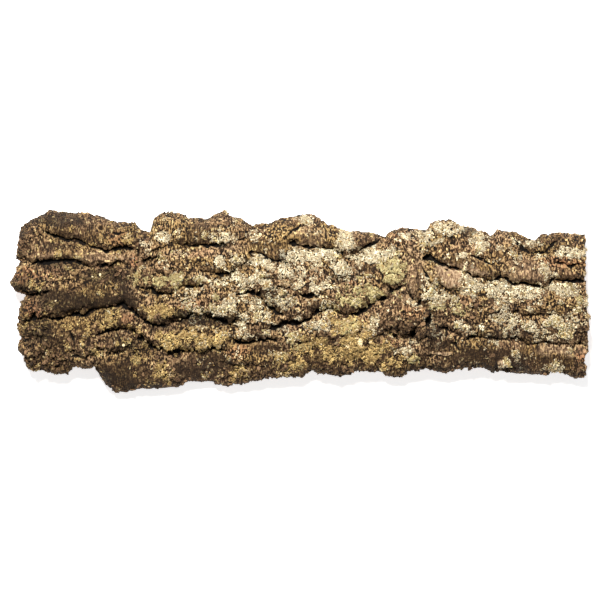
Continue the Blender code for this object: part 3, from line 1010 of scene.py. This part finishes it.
def make_lichen(kind, ground, draw):
    """The lobes of one kind of lichen, which point away from the middles of their thalli."""
    facts = LICHEN_KINDS[kind]
    weight = ground["covers"][kind] ** 1.5 * np.clip(1.4 - 2.4 * ground["crevice"], 0, 1)
    weight = weight * (1 - 0.90 * ground["riser"]) * (1 - ground["core"])
    # Fewer lobes where the tone is dark, which is partly painted shade.
    weight *= np.clip(1 + 1.3 * ground["tone"], 0, 1)
    weight *= np.clip(0.28 + 1.7 * octaves(*ground["points"][:, :2].T, CLUMP_SIZE, 2, SEED + 72), 0, 1)
    chosen = draw.choice(len(weight), facts["lobes"], p=weight / weight.sum())
    middles = ground["points"][draw.choice(chosen, facts["lobes"] // THALLUS_LOBES, replace=False)]
    places = ground["points"][chosen] + draw.uniform(-0.0006, 0.0006, (len(chosen), 3)) * (1, 1, 0)
    away = np.linalg.norm(places[:, None, :2] - middles[None, :, :2], axis=2)
    nearest = away.argmin(axis=1)
    distance = away.min(axis=1)
    directions = (places - middles[nearest]) * (1, 1, 0)
    directions /= distance[:, None] + 1e-6
    directions += draw.normal(0, 0.45, directions.shape) * (1, 1, 0)
    axes = frame_axes(tilted(ground["normals"][chosen], 0.20, draw), directions)
    length = facts["length"] * draw.uniform(0.55, 1.3, len(chosen))
    sizes = np.column_stack([length, length * draw.uniform(0.7, 1.2, len(chosen)), length])
    places += ground["normals"][chosen] * draw.uniform(0.0001, 0.0009, (len(chosen), 1))
    tones = np.clip(draw.normal(0.30 + 0.45 * ground["covers"][kind][chosen], 0.28), 0, 1)
    leaf, faces, rim = lobe_template()
    attributes = {"rim": np.tile(rim, len(chosen)), "tone": np.repeat(tones, len(leaf))}
    piece = scattered_mesh("lichen_" + kind, leaf * sizes[:, None, :], faces, places, axes, attributes)
    piece.data.shade_smooth()
    piece.data.materials.append(lichen_material(kind))


def make_bits(kind, ground, draw):
    """Crumbs or flakes of bark that break the outline, the rubble and the lips of the fissures."""
    facts = BITS[kind]
    edge = np.exp(-ground["cells_to_edge"] / 2.5)
    lip = np.clip(ground["crevice"] - 0.25, 0, 1) * (1 - ground["core"])
    weight = (8 if kind == "crumbs" else 1) * edge + 0.9 * ground["rubble"] + 0.5 * lip + 0.02
    chosen = draw.choice(len(weight), facts["count"], p=weight / weight.sum(), replace=False)
    ball = bmesh.new()
    bmesh.ops.create_icosphere(ball, subdivisions=1, radius=1.0)
    corners = np.array([corner.co for corner in ball.verts])
    faces = np.array([[corner.index for corner in face.verts] for face in ball.faces])
    ball.free()
    half = draw.uniform(*facts["half"], len(chosen)) * draw.uniform(0.6, 1.0, len(chosen))
    low, high = facts["flatness"]
    sizes = half[:, None] * draw.uniform((0.8, 0.6, low), (1.4, 1.0, high), (len(chosen), 3))
    chips = corners * sizes[:, None, :] * draw.uniform(0.75, 1.3, (len(chosen), len(corners), 1))
    normals = ground["normals"][chosen]
    axes = frame_axes(tilted(normals, facts["tip"], draw), draw.normal(0, 1, (len(chosen), 3)))
    lift = half * np.where(ground["cells_to_edge"][chosen] < 6, -0.3, 0.3)
    places = ground["points"][chosen] + normals * lift[:, None]
    places[:, 2] = np.maximum(places[:, 2], 3 * half)
    tones = np.clip(draw.normal(0.45, 0.28, len(chosen)), 0, 1)
    attributes = {
        "tone": np.repeat(tones, len(corners)),
        "crust": np.repeat(ground["crust"][chosen], len(corners)),
    }
    piece = scattered_mesh("bark_" + kind, chips, faces, places, axes, attributes)
    piece.data.materials.append(bits_material(kind))


def tilted(normals, amount, draw):
    leaning = normals + draw.normal(0, amount, normals.shape)
    return leaning / np.linalg.norm(leaning, axis=1, keepdims=True)


def colour(red, green, blue):
    """A colour of 0 to 255 as the eye sees it, as the linear values that a shader takes."""
    share = np.array((red, green, blue)) / 255
    linear = np.where(share <= 0.04045, share / 12.92, ((share + 0.055) / 1.055) ** 2.4)
    return (*linear, 1.0)


class Nodes:
    """A material's node tree, built a node at a time."""

    def __init__(self, name, roughness):
        self.material = bpy.data.materials.new(name)
        self.material.use_nodes = True
        self.tree = self.material.node_tree
        self.shader = self.tree.nodes["Principled BSDF"]
        self.shader.inputs["Roughness"].default_value = roughness
        self.shader.inputs["Specular IOR Level"].default_value = 0.2
        self.place = self.add("ShaderNodeTexCoord").outputs["Object"]

    def add(self, kind, **settings):
        node = self.tree.nodes.new(kind)
        for name, value in settings.items():
            setattr(node, name, value)
        return node

    def feed(self, socket, value):
        if isinstance(value, bpy.types.NodeSocket):
            self.tree.links.new(value, socket)
        else:
            socket.default_value = value

    def noise(self, size, detail=2.0, stretch=(1, 1, 1)):
        """Soft noise with features of about that size in metres, drawn out by stretch along each axis."""
        mapping = self.add("ShaderNodeMapping")
        self.feed(mapping.inputs["Vector"], self.place)
        mapping.inputs["Scale"].default_value = [1 / (size * each) for each in stretch]
        node = self.add("ShaderNodeTexNoise")
        self.feed(node.inputs["Vector"], mapping.outputs["Vector"])
        node.inputs["Scale"].default_value = 1.0
        node.inputs["Detail"].default_value = detail
        return node.outputs["Fac"]

    def attribute(self, name):
        return self.add("ShaderNodeAttribute", attribute_name=name).outputs["Fac"]

    def step(self, value, low, high, to_low=0.0, to_high=1.0):
        """The value, stretched from low and high to to_low and to_high, and clamped there."""
        node = self.add("ShaderNodeMapRange")
        self.feed(node.inputs["Value"], value)
        for name, number in zip(("From Min", "From Max", "To Min", "To Max"), (low, high, to_low, to_high)):
            node.inputs[name].default_value = number
        return node.outputs["Result"]

    def math(self, operation, first, second):
        node = self.add("ShaderNodeMath", operation=operation)
        self.feed(node.inputs[0], first)
        self.feed(node.inputs[1], second)
        return node.outputs[0]

    def blend(self, factor, first, second):
        """The first value where the factor is 0 and the second where it is 1."""
        rest = self.math("SUBTRACT", 1.0, factor)
        return self.math("ADD", self.math("MULTIPLY", rest, first), self.math("MULTIPLY", factor, second))

    def mix(self, factor, first, second):
        node = self.add("ShaderNodeMix", data_type="RGBA")
        sockets = [socket for socket in node.inputs if socket.type == "RGBA"]
        self.feed(node.inputs["Factor"], factor)
        self.feed(sockets[0], first)
        self.feed(sockets[1], second)
        return next(socket for socket in node.outputs if socket.type == "RGBA")

    def ramp(self, value, colours):
        """Colours spread evenly over values from 0 to 1."""
        node = self.add("ShaderNodeValToRGB")
        self.feed(node.inputs["Fac"], value)
        stops = node.color_ramp.elements
        while len(stops) < len(colours):
            stops.new(0.5)
        for number, shade in enumerate(colours):
            stops[number].position = number / (len(colours) - 1)
            stops[number].color = colour(*shade)
        return node.outputs["Color"]

    def bump(self, height, distance, strength=1.0, normal=None):
        node = self.add("ShaderNodeBump")
        self.feed(node.inputs["Height"], height)
        node.inputs["Distance"].default_value = distance
        node.inputs["Strength"].default_value = strength
        if normal is not None:
            self.feed(node.inputs["Normal"], normal)
        return node.outputs["Normal"]

    def finish(self, base, normal):
        self.feed(self.shader.inputs["Base Color"], base)
        self.feed(self.shader.inputs["Normal"], normal)
        return self.material


def bark_material():
    """Weathered cork: taupe and olive brown with lichen crusts, and painted shade and light: dark pits, pale
    crests, dark risers and dark fissure bottoms.
    """
    nodes = Nodes("cork_bark", 0.9)
    broad = nodes.noise(0.040, 2)
    fleck = nodes.noise(0.0019, 2)
    grain = nodes.noise(0.0016, 2, stretch=(1, 7, 3))
    strokes = nodes.noise(0.0013, 3, stretch=(1, 2.8, 2.8))
    crusted = nodes.step(nodes.attribute("crusted"), 0.05, 0.5)
    fine = nodes.blend(crusted, strokes, nodes.noise(0.0014, 2))
    speckle = nodes.step(fleck, 0.3, 0.7, -0.55, 0.55)
    mottle = nodes.math("ADD", speckle, nodes.step(fine, 0.34, 0.66, -0.95, 0.95))
    mottle = nodes.math("MULTIPLY", mottle, nodes.step(crusted, 0.0, 1.0, 0.75, 1.0))
    bare = nodes.attribute("bare")
    mottle = nodes.math("MULTIPLY", mottle, nodes.step(bare, 0.0, 1.0, 1.0, 0.42))
    streaks = nodes.step(grain, 0.3, 0.7, -0.26, 0.26)
    streaks = nodes.math("MULTIPLY", streaks, nodes.step(bare, 0.0, 1.0, 0.3, 1.0))
    # Painted shade in the pits and painted light on the crests, with the bark's own mottle and streaks added.
    pit_shade_and_mottle = nodes.math("ADD", nodes.attribute("pit_shade_and_mottle"), nodes.math("ADD", mottle, streaks))

    # These ramps run from the painted shade of the pits to the painted light of the crests.
    taupe = nodes.ramp(pit_shade_and_mottle, ((16, 10, 6), (55, 39, 25), (109, 83, 58), (178, 147, 110)))
    olive = nodes.ramp(pit_shade_and_mottle, ((16, 10, 6), (53, 38, 21), (100, 77, 46), (168, 138, 90)))
    base = nodes.mix(nodes.step(broad, 0.40, 0.60), taupe, olive)
    riser = nodes.attribute("riser")
    # Painted shade: the risers face away from the key light, so they go towards dark brown on top of their own
    # bare brown.
    base = nodes.mix(nodes.step(riser, 0.2, 0.9, 0.0, 0.60), base, colour(54, 37, 22))
    warm = nodes.math("MULTIPLY", nodes.attribute("warm"), nodes.step(pit_shade_and_mottle, 0.35, 0.8))
    base = nodes.mix(warm, base, colour(190, 138, 100))
    tone = nodes.attribute("tone")
    # Paler where the tone is above 0: mostly the bark's own pale patches, in places painted light over shadow.
    pale = nodes.ramp(pit_shade_and_mottle, ((84, 62, 44), (158, 130, 102), (206, 180, 148)))
    base = nodes.mix(nodes.step(tone, 0.0, 1.0), base, pale)

    uneven = nodes.step(nodes.noise(0.0036, 3), 0.3, 0.7, -0.50, 0.50)
    uneven = nodes.math("ADD", uneven, nodes.step(fine, 0.3, 0.7, -0.25, 0.25))
    # The lichen crusts take the same painted pit shade and crest light, paler where they cover closely.
    crust_shade_and_mottle = nodes.math("ADD", pit_shade_and_mottle, nodes.step(nodes.attribute("crusted"), 0.5, 1.0, 0.0, 0.22))
    for kind, shades in CRUST_COLOURS.items():
        edge = nodes.math("ADD", nodes.attribute("crust_" + kind), uneven)
        cover = nodes.math("MULTIPLY", nodes.step(edge, 0.35, 0.60), nodes.step(riser, 0.4, 1.0, 1.0, 0.25))
        base = nodes.mix(cover, base, nodes.ramp(crust_shade_and_mottle, shades))

    # Darker where the tone is below 0: partly the bark's own dark patches, partly painted shade in recesses and
    # under ridges and lumps.
    base = nodes.mix(nodes.step(tone, -0.8, 0.0, 0.80, 0.0), base, colour(30, 21, 13))
    # Painted shade deep in the fissures.
    base = nodes.mix(nodes.step(nodes.attribute("crevice"), 0.70, 1.0, 0.0, 0.50), base, colour(30, 21, 13))
    # Painted shade: a near-black line at the bottom of each fissure.
    base = nodes.mix(nodes.step(nodes.attribute("core"), 0.25, 0.75, 0.0, 0.97), base, colour(10, 7, 4))

    layers = nodes.noise(0.0035, 2, stretch=(8, 8, 1))
    cut = nodes.mix(nodes.step(layers, 0.35, 0.65), colour(84, 61, 40), colour(146, 108, 72))
    cut = nodes.mix(nodes.step(fine, 0.3, 0.5, 0.8, 0.0), cut, colour(56, 39, 25))
    ragged = nodes.math("ADD", nodes.attribute("wall"), nodes.step(nodes.noise(0.0060), 0.3, 0.7, -0.6, 0.2))
    base = nodes.mix(nodes.step(ragged, 0.2, 0.8, 0.0, 0.85), base, cut)

    pores = nodes.noise(0.0018, 1, stretch=(2.5, 1, 1))
    belly = nodes.mix(nodes.step(broad, 0.3, 0.7), colour(150, 108, 74), colour(122, 84, 56))
    belly = nodes.mix(nodes.step(pores, 0.28, 0.40, 0.85, 0.0), belly, colour(58, 36, 22))
    base = nodes.mix(nodes.step(nodes.attribute("up"), 0.0, 0.12, 1.0, 0.0), base, belly)

    normal = nodes.bump(fleck, 0.0028, 1.0)
    normal = nodes.bump(grain, 0.0010, 0.8, normal)
    normal = nodes.bump(fine, 0.0014, 1.0, normal)
    return nodes.finish(base, normal)


def lichen_material(kind):
    facts = LICHEN_KINDS[kind]
    nodes = Nodes("lichen_" + kind, 0.85)
    fine = nodes.noise(0.0012, 2)
    tone = nodes.attribute("tone")
    rim = nodes.attribute("rim")
    base = nodes.mix(nodes.step(rim, 0.25, 0.95), colour(*facts["base"]), colour(*facts["rim"]))
    base = nodes.mix(nodes.step(tone, 0.1, 0.9, 0.75, 0.0), base, colour(108, 80, 50))
    base = nodes.mix(nodes.step(fine, 0.3, 0.5, 0.4, 0.0), base, colour(100, 76, 46))
    return nodes.finish(base, nodes.bump(fine, 0.0004, 0.6))


def bits_material(kind):
    nodes = Nodes("bark_" + kind, 0.9)
    fine = nodes.noise(0.0011, 2)
    shade = nodes.math("ADD", nodes.attribute("tone"), nodes.step(fine, 0.3, 0.7, -0.4, 0.4))
    bark = nodes.ramp(shade, ((24, 16, 10), (74, 55, 38), (136, 108, 80)))
    crust = nodes.ramp(shade, ((70, 52, 33), (170, 145, 106), (238, 222, 180)))
    base = nodes.mix(nodes.step(nodes.attribute("crust"), 0.3, 0.7), bark, crust)
    return nodes.finish(base, nodes.bump(fine, 0.0008, 0.8))


def make_floor():
    bpy.ops.mesh.primitive_plane_add(size=8, location=(0, 0, -0.0004))
    floor = bpy.context.object
    floor.name = "floor"
    nodes = Nodes("floor", 0.95)
    tint = nodes.mix(nodes.noise(0.4), (0.93, 0.93, 0.93, 1), (0.95, 0.95, 0.95, 1))
    nodes.feed(nodes.shader.inputs["Base Color"], tint)
    nodes.shader.inputs["Emission Color"].default_value = (1, 1, 1, 1)
    nodes.shader.inputs["Emission Strength"].default_value = 0.68
    floor.data.materials.append(nodes.material)


def add_light(name, place, size, power, tint):
    light = bpy.data.lights.new(name, "AREA")
    light.color = tint
    light.size = size
    light.energy = power
    holder = bpy.data.objects.new(name, light)
    holder.location = place
    holder.rotation_euler = (-Vector(place)).to_track_quat("-Z", "Y").to_euler()
    bpy.context.scene.collection.objects.link(holder)


def make_light():
    add_light("key", (-0.25, 0.90, 2.25), 0.40, 124, (1.0, 0.965, 0.915))
    world = bpy.data.worlds.new("studio")
    world.use_nodes = True
    world.node_tree.nodes["Background"].inputs["Color"].default_value = (1, 1, 1, 1)
    world.node_tree.nodes["Background"].inputs["Strength"].default_value = 0.27
    bpy.context.scene.world = world
    bpy.context.scene.view_settings.view_transform = "Standard"


def make_camera():
    """Straight above the slab with a long lens, framed as the photograph."""
    camera = bpy.data.cameras.new("camera")
    holder = bpy.data.objects.new("camera", camera)
    metres_a_pixel = LENGTH / PHOTO_LENGTH
    mid_height = (CAD_BOX[0][2] + CAD_BOX[1][2]) / 2
    width = PHOTO_SIZE * metres_a_pixel
    camera.sensor_width = 36
    camera.lens = 36 * CAMERA_HEIGHT / width
    off_x = (PHOTO_SIZE / 2 - PHOTO_MIDDLE[0]) * metres_a_pixel
    off_y = (PHOTO_MIDDLE[1] - PHOTO_SIZE / 2) * metres_a_pixel
    holder.location = (off_x, off_y, mid_height + CAMERA_HEIGHT)
    bpy.context.scene.collection.objects.link(holder)
    bpy.context.scene.camera = holder


make_camera()
make_floor()
make_light()
ground = make_bark()
for number, kind in enumerate(LICHEN_KINDS):
    make_lichen(kind, ground, np.random.default_rng(SEED + 50 + number))
for number, kind in enumerate(BITS):
    make_bits(kind, ground, np.random.default_rng(SEED + 58 + number))
